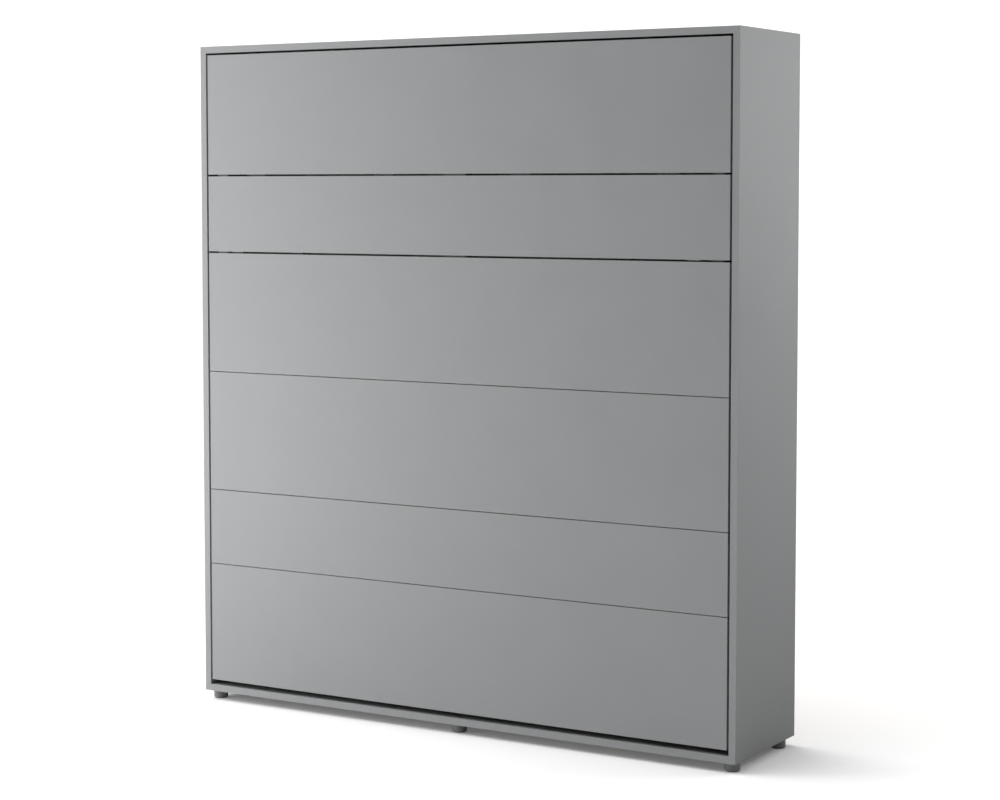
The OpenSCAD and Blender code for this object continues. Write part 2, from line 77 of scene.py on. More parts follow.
class Shader:
    """A principled material with a few short ways to add texture nodes to it."""

    def __init__(self, name, color, roughness=0.5, metallic=0.0, **sockets):
        self.mat = bpy.data.materials.new(name)
        self.mat.use_nodes = True
        self.tree = self.mat.node_tree
        self.bsdf = self.tree.nodes["Principled BSDF"]
        self.bsdf.inputs["Base Color"].default_value = (*color, 1.0)
        self.bsdf.inputs["Roughness"].default_value = roughness
        self.bsdf.inputs["Metallic"].default_value = metallic
        for socket, value in sockets.items():
            self.bsdf.inputs[socket.replace("_", " ")].default_value = value
        self.coord = self.add("ShaderNodeTexCoord")

    def add(self, kind, **settings):
        """A new node of the material, with its settings."""
        node = self.tree.nodes.new(kind)
        for key, value in settings.items():
            setattr(node, key, value)
        return node

    def link(self, output, socket):
        self.tree.links.new(output, socket)

    def mapping(self, scale):
        """Object coordinates, stretched."""
        node = self.add("ShaderNodeMapping")
        node.inputs["Scale"].default_value = scale
        self.link(self.coord.outputs["Object"], node.inputs["Vector"])
        return node.outputs["Vector"]

    def noise(self, scale, detail, roughness=0.5, vector=None, distortion=0.0):
        """Cloudy noise in object coordinates, or along vector."""
        node = self.add("ShaderNodeTexNoise")
        node.inputs["Scale"].default_value = scale
        node.inputs["Detail"].default_value = detail
        node.inputs["Roughness"].default_value = roughness
        node.inputs["Distortion"].default_value = distortion
        self.link(vector or self.coord.outputs["Object"], node.inputs["Vector"])
        return node.outputs["Fac"]

    def wave(self, scale, direction):
        """Smooth bands across one axis."""
        node = self.add("ShaderNodeTexWave", bands_direction=direction)
        node.inputs["Scale"].default_value = scale
        self.link(self.coord.outputs["Object"], node.inputs["Vector"])
        return node.outputs["Fac"]

    def math(self, operation, a, b=0.0):
        """A sum of one or two values, each a number or another node's output."""
        node = self.add("ShaderNodeMath", operation=operation)
        for socket, value in zip(node.inputs, (a, b)):
            if isinstance(value, (int, float)):
                socket.default_value = value
            else:
                self.link(value, socket)
        return node.outputs[0]

    def remap(self, value, low, high, to_low, to_high):
        """Stretches the range low to high onto the range to_low to to_high."""
        node = self.add("ShaderNodeMapRange")
        for key, number in zip(("From Min", "From Max", "To Min", "To Max"),
                               (low, high, to_low, to_high)):
            node.inputs[key].default_value = number
        self.link(value, node.inputs["Value"])
        return node.outputs["Result"]

    def ramp(self, value, *stops):
        """Colours at places from 0 to 1 along value."""
        node = self.add("ShaderNodeValToRGB")
        elements = node.color_ramp.elements
        while len(elements) < len(stops):
            elements.new(0.5)
        for element, (place, color) in zip(elements, stops):
            element.position = place
            element.color = (*color, 1.0)
        self.link(value, node.inputs["Fac"])
        return node.outputs["Color"]

    def mix(self, factor, a, b):
        """Colour a where factor is 0, colour b where it is 1."""
        node = self.add("ShaderNodeMix", data_type="RGBA")
        factor_in, a_in, b_in = (node.inputs[i] for i in (0, 6, 7))     # the ones a colour mix reads
        self.link(factor, factor_in)
        for socket, value in ((a_in, a), (b_in, b)):
            if isinstance(value, tuple):
                socket.default_value = (*value, 1.0)
            else:
                self.link(value, socket)
        return node.outputs[2]

    def axes(self, kind):
        """X, Y and Z of a texture coordinate, such as Object or Normal."""
        node = self.add("ShaderNodeSeparateXYZ")
        self.link(self.coord.outputs[kind], node.inputs[0])
        return node.outputs

    def on_face(self):
        """1 where the surface faces forwards or backwards, 0 on its edges."""
        return self.math("GREATER_THAN", self.math("ABSOLUTE", self.axes("Normal")["Y"]), 0.6)

    def from_line(self, value):
        """How far value is from the nearest quilting line, as a share of the pitch."""
        turns = self.math("MULTIPLY", value, 1.0 / QUILT_PITCH)
        return self.math("ABSOLUTE", self.math("SUBTRACT", turns, self.math("ROUND", turns)))

    def color(self, value):
        self.link(value, self.bsdf.inputs["Base Color"])

    def roughness(self, value):
        self.link(value, self.bsdf.inputs["Roughness"])

    def bump(self, height, distance, strength):
        """Relief; distance is its real height in metres."""
        node = self.add("ShaderNodeBump")
        node.inputs["Strength"].default_value = strength
        node.inputs["Distance"].default_value = distance
        self.link(height, node.inputs["Height"])
        previous = self.bsdf.inputs["Normal"]
        if previous.is_linked:
            self.link(previous.links[0].from_socket, node.inputs["Normal"])
        self.link(node.outputs["Normal"], previous)


def tint(color, factor):
    """The colour, made darker or lighter."""
    return tuple(min(1.0, c * factor) for c in color)


# ---------------------------------------------------------------- materials

def laminate():
    """Matt grey melamine: even colour, faint print mottle and a fine pebble."""
    grey = (0.317, 0.323, 0.328)
    look = Shader("laminate", grey, 0.48, Specular_IOR_Level=0.42)
    cloud = look.noise(5.0, 3.0)
    speck = look.noise(700.0, 2.0, 0.6)
    mottle = look.math("ADD", look.math("MULTIPLY", cloud, 0.6), look.math("MULTIPLY", speck, 0.4))
    look.color(look.ramp(mottle, (0.3, tint(grey, 0.97)), (0.7, tint(grey, 1.03))))
    look.roughness(look.remap(cloud, 0.3, 0.7, 0.45, 0.53))
    look.bump(look.noise(1100.0, 3.0, 0.6), 0.00006, 0.5)
    return look.mat


def hardboard():
    """Grey lacquer on the face inside the cabinet, raw brown fibreboard on the wall side."""
    look = Shader("hardboard", (0.55, 0.55, 0.54), 0.55)
    fibre = look.noise(260.0, 6.0, 0.7, look.mapping((1, 1, 0.5)))
    raw = look.ramp(fibre, (0.3, (0.17, 0.10, 0.055)), (0.5, (0.27, 0.175, 0.10)), (0.72, (0.36, 0.25, 0.16)))
    lacquer = look.ramp(look.noise(3.0, 2.0), (0.3, (0.515, 0.52, 0.515)), (0.7, (0.54, 0.545, 0.54)))
    look.color(look.mix(look.math("GREATER_THAN", look.axes("Normal")["Y"], 0.3), lacquer, raw))
    look.roughness(look.remap(fibre, 0.3, 0.7, 0.5, 0.68))
    look.bump(fibre, 0.00012, 0.5)
    return look.mat


def plastic(name, color, roughness):
    """Moulded plastic: one colour with slight clouds and an even spark-eroded grain."""
    look = Shader(name, color, roughness)
    grain = look.noise(900.0, 3.0, 0.6)
    look.color(look.ramp(look.noise(40.0, 3.0), (0.3, tint(color, 0.92)), (0.7, tint(color, 1.08))))
    look.roughness(look.remap(grain, 0.3, 0.7, roughness - 0.06, roughness + 0.08))
    look.bump(grain, 0.00008, 0.6)
    return look.mat


def zinc_steel():
    """Zinc plating: cool, with cloudy passivation and fine drawing lines."""
    look = Shader("zinc_steel", (0.62, 0.63, 0.64), 0.33, 1.0)
    cloud = look.noise(60.0, 4.0)
    look.color(look.ramp(cloud, (0.3, (0.56, 0.58, 0.60)), (0.55, (0.64, 0.65, 0.65)),
                         (0.75, (0.66, 0.64, 0.60))))
    lines = look.noise(300.0, 4.0, 0.6, look.mapping((0.08, 1, 1)))
    look.roughness(look.remap(lines, 0.3, 0.7, 0.26, 0.42))
    look.bump(lines, 0.00003, 0.5)
    return look.mat


def black_steel():
    """Blackened steel: thin uneven oxide over bare metal."""
    look = Shader("black_steel", (0.035, 0.035, 0.037), 0.45, 0.6)
    cloud = look.noise(120.0, 4.0)
    look.color(look.ramp(cloud, (0.3, (0.025, 0.025, 0.027)), (0.7, (0.05, 0.05, 0.052))))
    look.roughness(look.remap(cloud, 0.3, 0.7, 0.38, 0.55))
    look.bump(look.noise(800.0, 3.0), 0.00004, 0.5)
    return look.mat


def steel_paint():
    """Grey powder coat: slight clouds of tone and an orange peel."""
    grey = (0.30, 0.305, 0.31)
    look = Shader("steel_paint", grey, 0.42, Coat_Weight=0.12, Coat_Roughness=0.3)
    peel = look.noise(420.0, 3.0, 0.55)
    look.color(look.ramp(look.noise(14.0, 4.0), (0.3, tint(grey, 0.95)), (0.7, tint(grey, 1.04))))
    look.roughness(look.remap(peel, 0.3, 0.7, 0.36, 0.48))
    look.bump(peel, 0.00012, 0.6)
    return look.mat


def rubber():
    """Black rubber with a little dust on it."""
    look = Shader("rubber", (0.02, 0.02, 0.021), 0.75)
    dust = look.noise(90.0, 5.0)
    look.color(look.ramp(dust, (0.35, (0.016, 0.016, 0.017)), (0.7, (0.035, 0.034, 0.033))))
    look.bump(look.noise(1200.0, 2.0), 0.0001, 0.5)
    return look.mat


def birch():
    """Lacquered birch plywood slats: grain along X, plies on the long edges."""
    look = Shader("birch", (0.69, 0.55, 0.38), 0.38, Coat_Weight=0.25, Coat_Roughness=0.2)
    grain = look.noise(36.0, 6.0, 0.62, look.mapping((0.05, 1.0, 1.0)), 0.6)
    pores = look.noise(520.0, 2.0, 0.5, look.mapping((0.03, 1.0, 1.0)))
    face = look.ramp(grain, (0.25, (0.56, 0.42, 0.26)), (0.5, (0.70, 0.56, 0.38)), (0.75, (0.78, 0.65, 0.47)))
    plies = look.ramp(look.wave(98.0, "Y"), (0.35, (0.36, 0.21, 0.10)), (0.6, (0.70, 0.52, 0.32)))
    board = look.mix(look.on_face(), plies, face)
    look.color(look.mix(look.remap(pores, 0.55, 0.75, 0.0, 0.35), board, (0.36, 0.22, 0.11)))
    look.roughness(look.remap(grain, 0.3, 0.7, 0.34, 0.46))
    look.bump(pores, 0.00005, 0.6)
    return look.mat


def ticking():
    """Knitted cover: fine rib, heathered yarn and a soft sheen."""
    ecru = (0.56, 0.55, 0.52)
    look = Shader("ticking", ecru, 0.88, Sheen_Weight=0.35, Sheen_Roughness=0.45)
    yarn = look.noise(950.0, 3.0, 0.7)
    cloud = look.noise(7.0, 3.0)
    fresh = look.ramp(yarn, (0.3, tint(ecru, 0.90)), (0.65, tint(ecru, 1.05)))
    heather = look.mix(look.remap(cloud, 0.3, 0.7, 0.0, 0.25), fresh, tint(ecru, 0.93))
    place = look.axes("Object")
    x, z = place["X"], look.math("SUBTRACT", place["Z"], QUILT_START)
    rising, falling = look.math("SUBTRACT", x, z), look.math("ADD", x, z)
    seam = look.math("MINIMUM", look.from_line(falling), look.from_line(rising))
    # Painted shade: the cover's faces darken towards each quilting line, where the seams sink into the cover.
    seam_shade = look.math("MULTIPLY", look.remap(seam, 0.0, 0.022, 0.55, 0.0), look.on_face())
    look.color(look.mix(seam_shade, heather, tint(ecru, 0.62)))
    rib = look.math("MULTIPLY", look.wave(150.0, "X"), look.wave(170.0, "Z"))
    look.bump(rib, 0.00035, 0.6)
    look.bump(yarn, 0.00015, 0.5)
    return look.mat


def webbing():
    """Black polyester webbing with a rib across its width."""
    black = (0.022, 0.022, 0.025)
    look = Shader("webbing", black, 0.7, Sheen_Weight=0.25, Sheen_Roughness=0.5)
    rib = look.math("MAXIMUM", look.wave(260.0, "X"), look.wave(260.0, "Y"))
    weft = look.wave(320.0, "Z")
    weave = look.math("MULTIPLY", rib, weft)
    look.color(look.ramp(weave, (0.2, tint(black, 0.6)), (0.8, tint(black, 2.0))))
    look.bump(weave, 0.0003, 0.8)
    return look.mat


def piping():
    """Woven tape that binds the mattress's edges."""
    grey = (0.42, 0.42, 0.41)
    look = Shader("piping", grey, 0.8, Sheen_Weight=0.2, Sheen_Roughness=0.5)
    weave = look.noise(1400.0, 2.0, 0.6)
    look.color(look.ramp(weave, (0.3, tint(grey, 0.8)), (0.7, tint(grey, 1.1))))
    look.bump(weave, 0.0002, 0.7)
    return look.mat


def strut_black():
    """Glossy black enamel of the gas struts."""
    look = Shader("strut_black", (0.012, 0.012, 0.013), 0.28, Coat_Weight=0.4, Coat_Roughness=0.12)
    peel = look.noise(300.0, 3.0)
    look.color(look.ramp(look.noise(30.0, 4.0), (0.3, (0.010, 0.010, 0.011)), (0.75, (0.020, 0.020, 0.021))))
    look.roughness(look.remap(peel, 0.3, 0.7, 0.22, 0.34))
    look.bump(peel, 0.00005, 0.4)
    return look.mat


def chrome_rod():
    """Hard chrome with a faint film of oil drawn along the rod."""
    look = Shader("chrome_rod", (0.78, 0.79, 0.80), 0.1, 1.0)
    film = look.noise(80.0, 4.0, 0.6, look.mapping((1, 1, 0.15)))
    look.color(look.ramp(film, (0.3, (0.72, 0.73, 0.74)), (0.7, (0.82, 0.83, 0.84))))
    look.roughness(look.remap(film, 0.35, 0.7, 0.06, 0.2))
    return look.mat


MATERIALS = {
    "laminate": laminate(),
    "hardboard": hardboard(),
    "foot_plastic": plastic("foot_plastic", (0.25, 0.25, 0.253), 0.42),
    "moulded_plastic": plastic("moulded_plastic", (0.03, 0.03, 0.032), 0.45),
    "zinc_steel": zinc_steel(),
    "black_steel": black_steel(),
    "steel_paint": steel_paint(),
    "rubber": rubber(),
    "birch": birch(),
    "ticking": ticking(),
    "webbing": webbing(),
    "strut_black": strut_black(),
    "chrome_rod": chrome_rod(),
}
PIPING = piping()      # the edge tape has its own look


# ---------------------------------------------------------------- mesh helpers

def new_object(name, bm, material, smooth_angle=35.0):
    """Turns a bmesh into a linked object, smooth but for its sharp edges."""
    mesh = bpy.data.meshes.new(name)
    bmesh.ops.recalc_face_normals(bm, faces=bm.faces)
    bm.to_mesh(mesh)
    bm.free()
    obj = bpy.data.objects.new(name, mesh)
    SCENE.collection.objects.link(obj)
    mesh.materials.append(material)
    for polygon in mesh.polygons:
        polygon.use_smooth = True
    mesh.set_sharp_from_angle(angle=math.radians(smooth_angle))
    return obj


def finish_piece(obj, body, slot, *replaced):
    """Puts a piece on its body, in place of its CAD nodes, which it hides; slot is not used."""
    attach(obj, body)
    if replaced:
        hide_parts(*replaced)


def apply_modifiers(obj):
    """Bakes the modifiers into the object's own mesh."""
    graph = bpy.context.evaluated_depsgraph_get()
    mesh = bpy.data.meshes.new_from_object(obj.evaluated_get(graph))
    obj.modifiers.clear()
    obj.data = mesh


def turn(count):
    """Angles spread evenly over a full turn."""
    return [i * math.tau / count for i in range(count)]


def circle(radius, height, count):
    """Points round +Z at a height."""
    return [Vector((radius * math.cos(a), radius * math.sin(a), height)) for a in turn(count)]


def join_rings(bm, rings):
    """Faces between each ring of points and the next; every ring has the same count."""
    for ring, following in zip(rings, rings[1:]):
        for j in range(len(ring)):
            k = (j + 1) % len(ring)
            bm.faces.new((ring[j], ring[k], following[k], following[j]))


def close_ends(bm, rings):
    """A face over the first ring and one over the last."""
    bm.faces.new(rings[0])
    bm.faces.new(list(reversed(rings[-1])))


def basis(axis):
    """A rotation that carries +Z onto axis."""
    return Vector((0, 0, 1)).rotation_difference(Vector(axis)).to_matrix().to_4x4()


def extent(points):
    """The lowest and highest corner of some points."""
    return (Vector([min(p[i] for p in points) for i in range(3)]),
            Vector([max(p[i] for p in points) for i in range(3)]))


def clamped(point, low, high):
    """The point, moved into a box if it lies outside."""
    return Vector([min(max(p, a), b) for p, a, b in zip(point, low, high)])


# ---------------------------------------------------------------- CAD nodes

# Width of the softened edge, by slot. Small pieces take the fine one, and slots left out keep sharp edges.
EDGE_WIDTHS = {"laminate": 0.8 * MM, "steel_paint": 1.2 * MM, "birch": 1.6 * MM, "foot_plastic": 0.8 * MM,
               "moulded_plastic": 0.4 * MM, "hardboard": 0.2 * MM}
FINE_EDGE = 0.4 * MM
SMALL_NODES = {"leg_glides", "closing_stops", "strut_brackets", "cabinet_pivot_plates",
               "bed_pivot_plates", "mattress_stops"}


def dress_cad_nodes():
    """Gives each CAD node its material, and takes the sharpness off its edges."""
    for name, node in frame["nodes"].items():
        slot = NODE_SLOTS[name]
        node.data.materials.clear()
        node.data.materials.append(MATERIALS[slot])
        if slot in EDGE_WIDTHS:
            bevel = node.modifiers.new("edge", "BEVEL")
            bevel.width = FINE_EDGE if name in SMALL_NODES else EDGE_WIDTHS[slot]
            bevel.segments = 2
            bevel.limit_method = "ANGLE"
            bevel.angle_limit = math.radians(50)
            bevel.use_clamp_overlap = True
            bevel.harden_normals = True


# ---------------------------------------------------------------- mattress

def inflate(obj, pressure, cap):
    """Swells a closed mesh as cloth, then pulls back points that moved further than cap."""
    frames = 20
    rest = [v.co.copy() for v in obj.data.vertices]
    cloth = obj.modifiers.new("cloth", "CLOTH")
    settings = cloth.settings
    settings.use_pressure = True
    settings.uniform_pressure_force = pressure
    settings.effector_weights.gravity = 0.0
    settings.quality = 5
    settings.mass = 0.4
    settings.tension_stiffness = 40
    settings.compression_stiffness = 40
    settings.bending_stiffness = 4
    cloth.point_cache.frame_start = 1
    cloth.point_cache.frame_end = frames
    for number in range(1, frames + 1):
        SCENE.frame_set(number)
    apply_modifiers(obj)
    SCENE.frame_set(1)
    for vertex, start in zip(obj.data.vertices, rest):
        move = vertex.co - start
        if move.length > cap:
            vertex.co = start + move * (cap / move.length)


def rounded_slab(low, high, radius, step):
    """A closed slab with its big faces in XZ, its corners round in that plane."""
    bm = bmesh.new()
    counts = [max(2, round((high[i] - low[i]) / step)) for i in range(3)]
    bmesh.ops.create_cube(bm, size=1.0)
    center = (low + high) / 2
    bmesh.ops.transform(bm, matrix=Matrix.Translation(center) @ Matrix.Diagonal((*(high - low), 1.0)),
                        verts=bm.verts)
    for axis in range(3):
        for i in range(1, counts[axis]):
            plane = Vector((0, 0, 0))
            plane[axis] = low[axis] + (high[axis] - low[axis]) * i / counts[axis]
            normal = Vector((0, 0, 0))
            normal[axis] = 1.0
            bmesh.ops.bisect_plane(bm, geom=bm.verts[:] + bm.edges[:] + bm.faces[:],
                                   plane_co=plane, plane_no=normal)
    flat_x = (high.x - low.x) / 2 - radius
    flat_z = (high.z - low.z) / 2 - radius
    for vertex in bm.verts:
        x = vertex.co.x - center.x
        z = vertex.co.z - center.z
        over_x = abs(x) - flat_x
        over_z = abs(z) - flat_z
        if over_x > 0 and over_z > 0:
            scale = max(over_x, over_z) / math.hypot(over_x, over_z)
            vertex.co.x = center.x + math.copysign(flat_x + over_x * scale, x)
            vertex.co.z = center.z + math.copysign(flat_z + over_z * scale, z)
    return bm


def quilt_height(x, z):
    """0 on the seams of a diamond quilting, 1 on the crown of a diamond."""
    u = (x + z - QUILT_START) / QUILT_PITCH
    v = (x - z + QUILT_START) / QUILT_PITCH
    near = min(abs(u - round(u)), abs(v - round(v))) * 2
    return math.sin(min(1.0, near * 1.25) * math.pi / 2) ** 0.6


def quilt(cover):
    """Sinks the seams into both faces and the straps into theirs, all inside the CAD's box."""
    low, high = MATTRESS_LOW, MATTRESS_HIGH
    plain_edge, fade = 20 * MM, 50 * MM
    seam_depth, strap_depth, strap_reach = 11 * MM, 6 * MM, 75 * MM
    skin = Vector((0, 0.5 * MM, 0))
    middle = (low.y + high.y) / 2
    for vertex in cover.data.vertices:
        co = vertex.co
        edge = min(co.x - low.x, high.x - co.x, co.z - low.z, high.z - co.z)
        share = min(1.0, max(0.0, (edge - plain_edge) / fade))
        outward = math.copysign(1.0, co.y - middle)
        depth = (1.0 - quilt_height(co.x, co.z)) * seam_depth * share
        if outward > 0:
            for strap_z in STRAP_ZS:
                pressed = max(0.0, 1.0 - abs(co.z - strap_z) / strap_reach)
                depth = max(depth, strap_depth * pressed ** 2 * share)
        co.y -= outward * depth
        vertex.co = clamped(co, low + skin, high - skin)


def mattress():
    """A sprung mattress: swollen cover, quilted faces, bound edges, ribbed border."""
    corner, tape_inset = 45 * MM, 14 * MM
    step = COVER_STEP * 1
    bm = rounded_slab(MATTRESS_LOW + COVER_INSET, MATTRESS_HIGH - COVER_INSET, corner, step)
    cover = new_object("mattress_cover", bm, MATERIALS["ticking"], 80.0)
    inflate(cover, pressure=3.0, cap=10 * MM)
    subdivide = cover.modifiers.new("smooth", "SUBSURF")
    subdivide.levels = subdivide.render_levels = 1
    apply_modifiers(cover)
    quilt(cover)
    split_along_seams(cover)
    finish_piece(cover, "bed", "ticking", "mattress")
    for side, y in (("front", MATTRESS_LOW.y + tape_inset), ("back", MATTRESS_HIGH.y - tape_inset)):
        tape = edge_tape("mattress_piping_" + side, cover, y)
        finish_piece(tape, "bed", "ticking")


def split_along_seams(cover):
    """Cuts each square of the faces along the diagonal that lies lower, so seams run straight."""
    clear_difference = 0.2 * MM
    bm = bmesh.new()
    bm.from_mesh(cover.data)
    squares = [f for f in bm.faces if len(f.verts) == 4 and abs(f.normal.y) > 0.6]
    for square in squares:
        a, b, c, d = square.verts
        inward = -math.copysign(1.0, square.normal.y)
        first = (a.co.y + c.co.y) * inward
        second = (b.co.y + d.co.y) * inward
        if abs(first - second) > clear_difference:
            bmesh.utils.face_split(square, *((a, c) if first > second else (b, d)))
    bm.to_mesh(cover.data)
    bm.free()


def edge_tape(name, cover, y):
    """The bound seam that runs round a face of the mattress, sewn onto the cover's edge."""
    corner, tape, sides = 47 * MM, 4.5 * MM, 10
    inside = Vector((3 * MM, 5 * MM, 3 * MM))
    low, high = MATTRESS_LOW + inside, MATTRESS_HIGH - inside
    tree = BVHTree.FromPolygons([v.co for v in cover.data.vertices],
                                [p.vertices for p in cover.data.polygons])
    route = round_loop(low.x, high.x, low.z, high.z, corner)
    nearest = [tree.find_nearest(Vector((x, y, z)))[0] for x, z in route]
    points = [clamped(point, low, high) for point in nearest]
    bm = bmesh.new()
    rings = []
    for i, point in enumerate(points):
        along = (points[(i + 1) % len(points)] - points[i - 1]).normalized()
        out = Vector((along.z, 0, -along.x))
        rings.append([bm.verts.new(point + out * tape * math.cos(a) + Vector((0, tape * math.sin(a), 0)))
                      for a in turn(sides)])
    join_rings(bm, rings + rings[:1])
    return new_object(name, bm, PIPING, 180.0)


def round_loop(x0, x1, z0, z1, radius):
    """Points round a rectangle with round corners, anticlockwise seen from the front."""
    arc_steps, step = 10, 50 * MM
    points = []
    corners = ((x1 - radius, z0 + radius, -90), (x1 - radius, z1 - radius, 0),
               (x0 + radius, z1 - radius, 90), (x0 + radius, z0 + radius, 180))
    for i, (cx, cz, start) in enumerate(corners):
        for k in range(arc_steps + 1):
            a = math.radians(start + 90 * k / arc_steps)
            points.append((cx + radius * math.cos(a), cz + radius * math.sin(a)))
        nx, nz, next_start = corners[(i + 1) % 4]
        a = math.radians(next_start)
        end = Vector((nx + radius * math.cos(a), nz + radius * math.sin(a)))
        begin = Vector(points[-1])
        pieces = max(2, round((end - begin).length / step))
        points += [tuple(begin.lerp(end, k / pieces)) for k in range(1, pieces)]
    return points


# ---------------------------------------------------------------- straps and buckles

def strap_route(half_x, y0, y1):
    """Half of a strap's centre line from the middle of the mattress to its tab on the rail."""
    radius, fold, tab = 22 * MM, 4 * MM, 18 * MM
    flat_steps, flat_share, arc_steps = 12, 0.98, 6
    points = [(half_x * k / flat_steps * flat_share, y1) for k in range(flat_steps + 1)]
    for k in range(1, arc_steps + 1):
        a = math.radians(90 - 90 * k / arc_steps)
        points.append((half_x - radius + radius * math.cos(a), y1 - radius + radius * math.sin(a)))
    points.append((half_x, (y0 + y1) / 2))
    for k in range(arc_steps + 1):
        a = math.radians(-90 * k / arc_steps)
        points.append((half_x - fold + fold * math.cos(a), y0 + fold + fold * math.sin(a)))
    points.append((half_x - tab, y0))
    return points


def ribbon(bm, route, z, width, thickness):
    """Sweeps a flat band with rounded edges along a route in the XY plane."""
    half = width / 2
    edge = thickness / 2
    section = [(edge, -half + edge), (edge, half - edge), (0, half), (-edge, half - edge),
               (-edge, -half + edge), (0, -half)]
    rings = []
    for i, point in enumerate(route):
        ahead = Vector(route[min(i + 1, len(route) - 1)])
        behind = Vector(route[max(i - 1, 0)])
        along = (ahead - behind).normalized()
        out = Vector((-along.y, along.x))
        rings.append([bm.verts.new((point[0] + out.x * a, point[1] + out.y * a, z + b)) for a, b in section])
    join_rings(bm, rings)
    close_ends(bm, rings)


def straps():
    """Webbing that runs over the mattress and folds in under it, with stitches on its sides."""
    low, high = STRAPS_LOW, STRAPS_HIGH
    width, thickness, inset = 38 * MM, 1.6 * MM, 1 * MM
    stitch_x, stitch_y = high.x - 0.5 * MM, low.y + 30 * MM
    half = strap_route(high.x - inset, low.y + inset, high.y - inset)
    whole = [(-x, y) for x, y in reversed(half)] + half[1:]
    bm = bmesh.new()
    for z in STRAP_ZS:
        ribbon(bm, whole, z, width, thickness)
        for side in (-1, 1):
            for row in (-1.5, -0.5, 0.5, 1.5):
                stitch_row(bm, side * stitch_x, stitch_y, z + row * 8 * MM)
    obj = new_object("webbing_straps", bm, MATERIALS["webbing"], 30.0)
    finish_piece(obj, "bed", "webbing", "mattress_straps")


def stitch_row(bm, x, y0, z):
    """A row of sewn stitches on a strap's side, along Y."""
    count, pitch, radius = 6, 4 * MM, 0.6 * MM
    shape = Matrix.Diagonal((0.7, 2.2, 0.8, 1))
    for k in range(count):
        made = bmesh.ops.create_uvsphere(bm, u_segments=6, v_segments=4, radius=radius)
        place = Matrix.Translation((x, y0 + k * pitch, z))
        bmesh.ops.transform(bm, verts=made["verts"], matrix=place @ shape)


def bar(bm, low, high, bevel):
    """A box between two corners with rounded edges."""
    low, high = Vector(low), Vector(high)
    made = bmesh.ops.create_cube(bm, size=1.0)
    matrix = Matrix.Translation((low + high) / 2) @ Matrix.Diagonal((*(high - low), 1.0))
    bmesh.ops.transform(bm, matrix=matrix, verts=made["verts"])
    edges = list(dict.fromkeys(e for v in made["verts"] for e in v.link_edges))
    bmesh.ops.bevel(bm, geom=edges, offset=bevel, segments=2, affect="EDGES", profile=0.5)


def buckles():
    """Ladder buckles: two long sides, three cross bars, the strap threaded between them."""
    low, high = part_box("strap_buckles")
    width = high.x - low.x
    half_h, side_start, bar_end, bar_share = 26 * MM, 20.5 * MM, 21.5 * MM, 0.12
    bm = bmesh.new()
    for z in (low.z + half_h, high.z - half_h):
        for side in (-1, 1):
            near, far = sorted((z + side * side_start, z + side * half_h))
            bar(bm, (low.x, low.y - 2 * MM, near), (high.x, high.y, far), 1.2 * MM)
        for start, lift in ((0.0, 0.0), (0.44, 1 * MM), (0.88, 0.0)):
            x = low.x + width * start
            bar(bm, (x, low.y + 0.7 * MM + lift, z - bar_end),
                (x + width * bar_share, high.y - 0.4 * MM, z + bar_end), 1 * MM)
    obj = new_object("ladder_buckles", bm, MATERIALS["moulded_plastic"])
    finish_piece(obj, "bed", "moulded_plastic", "strap_buckles")


# ---------------------------------------------------------------- turned and recessed hardware

def in_mm(*points):
    """Points written in millimetres, in metres."""
    return [tuple(value * MM for value in point) for point in points]


def lathe(bm, profile, origin, axis, segments):
    """Turns (radius, height) points about axis through origin; a radius of 0 closes an end."""
    place = Matrix.Translation(origin) @ basis(axis)
    rings = []
    for radius, height in profile:
        points = circle(radius, height, segments) if radius > 0 else [Vector((0, 0, height))]
        rings.append([bm.verts.new(place @ point) for point in points])
    for ring, following in zip(rings, rings[1:]):
        for j in range(segments):
            k = (j + 1) % segments
            corners = [ring[j % len(ring)], ring[k % len(ring)],
                       following[k % len(following)], following[j % len(following)]]
            unique = list(dict.fromkeys(corners))
            if len(unique) > 2:
                bm.faces.new(unique)


def recessed_disc(bm, origin, axis, radius, recess, slot, depth):
    """A round head with a cross recess pressed into it. recess is the cross's half length,
    slot its half width and depth how deep it goes; the head's face is at origin."""
    ring_count, segments = 12, 40
    place = Matrix.Translation(origin) @ basis(axis)

    def height(x, y):
        u, v = abs(x), abs(y)
        inside = min(recess - max(u, v), slot - min(u, v))
        return -depth * min(1.0, max(0.0, inside / (slot * 0.5)))

    rings = []
    for i in range(1, ring_count + 1):
        flat = circle(radius * (i / ring_count), 0.0, segments)
        rings.append([bm.verts.new(place @ Vector((p.x, p.y, height(p.x, p.y)))) for p in flat])
    rings.append([bm.verts.new(place @ p) for p in circle(0.96 * radius, -0.35 * radius, segments)])
    join_rings(bm, rings)
    middle = bm.verts.new(place @ Vector((0, 0, -depth)))
    for j in range(segments):
        bm.faces.new((middle, rings[0][j], rings[0][(j + 1) % segments]))
    bm.faces.new(list(reversed(rings[-1])))


def islands(node):
    """The points of each separate solid in a CAD node."""
    bm = bmesh.new()
    bm.from_mesh(frame["nodes"][node].data)
    bmesh.ops.remove_doubles(bm, verts=bm.verts, dist=1e-6)
    left = set(bm.verts)
    solids = []
    for seed in bm.verts:
        if seed not in left:
            continue
        left.remove(seed)
        stack, found = [seed], []
        while stack:
            vert = stack.pop()
            found.append(vert.co.copy())
            for edge in vert.link_edges:
                other = edge.other_vert(vert)
                if other in left:
                    left.remove(other)
                    stack.append(other)
        solids.append(found)
    bm.free()
    return solids


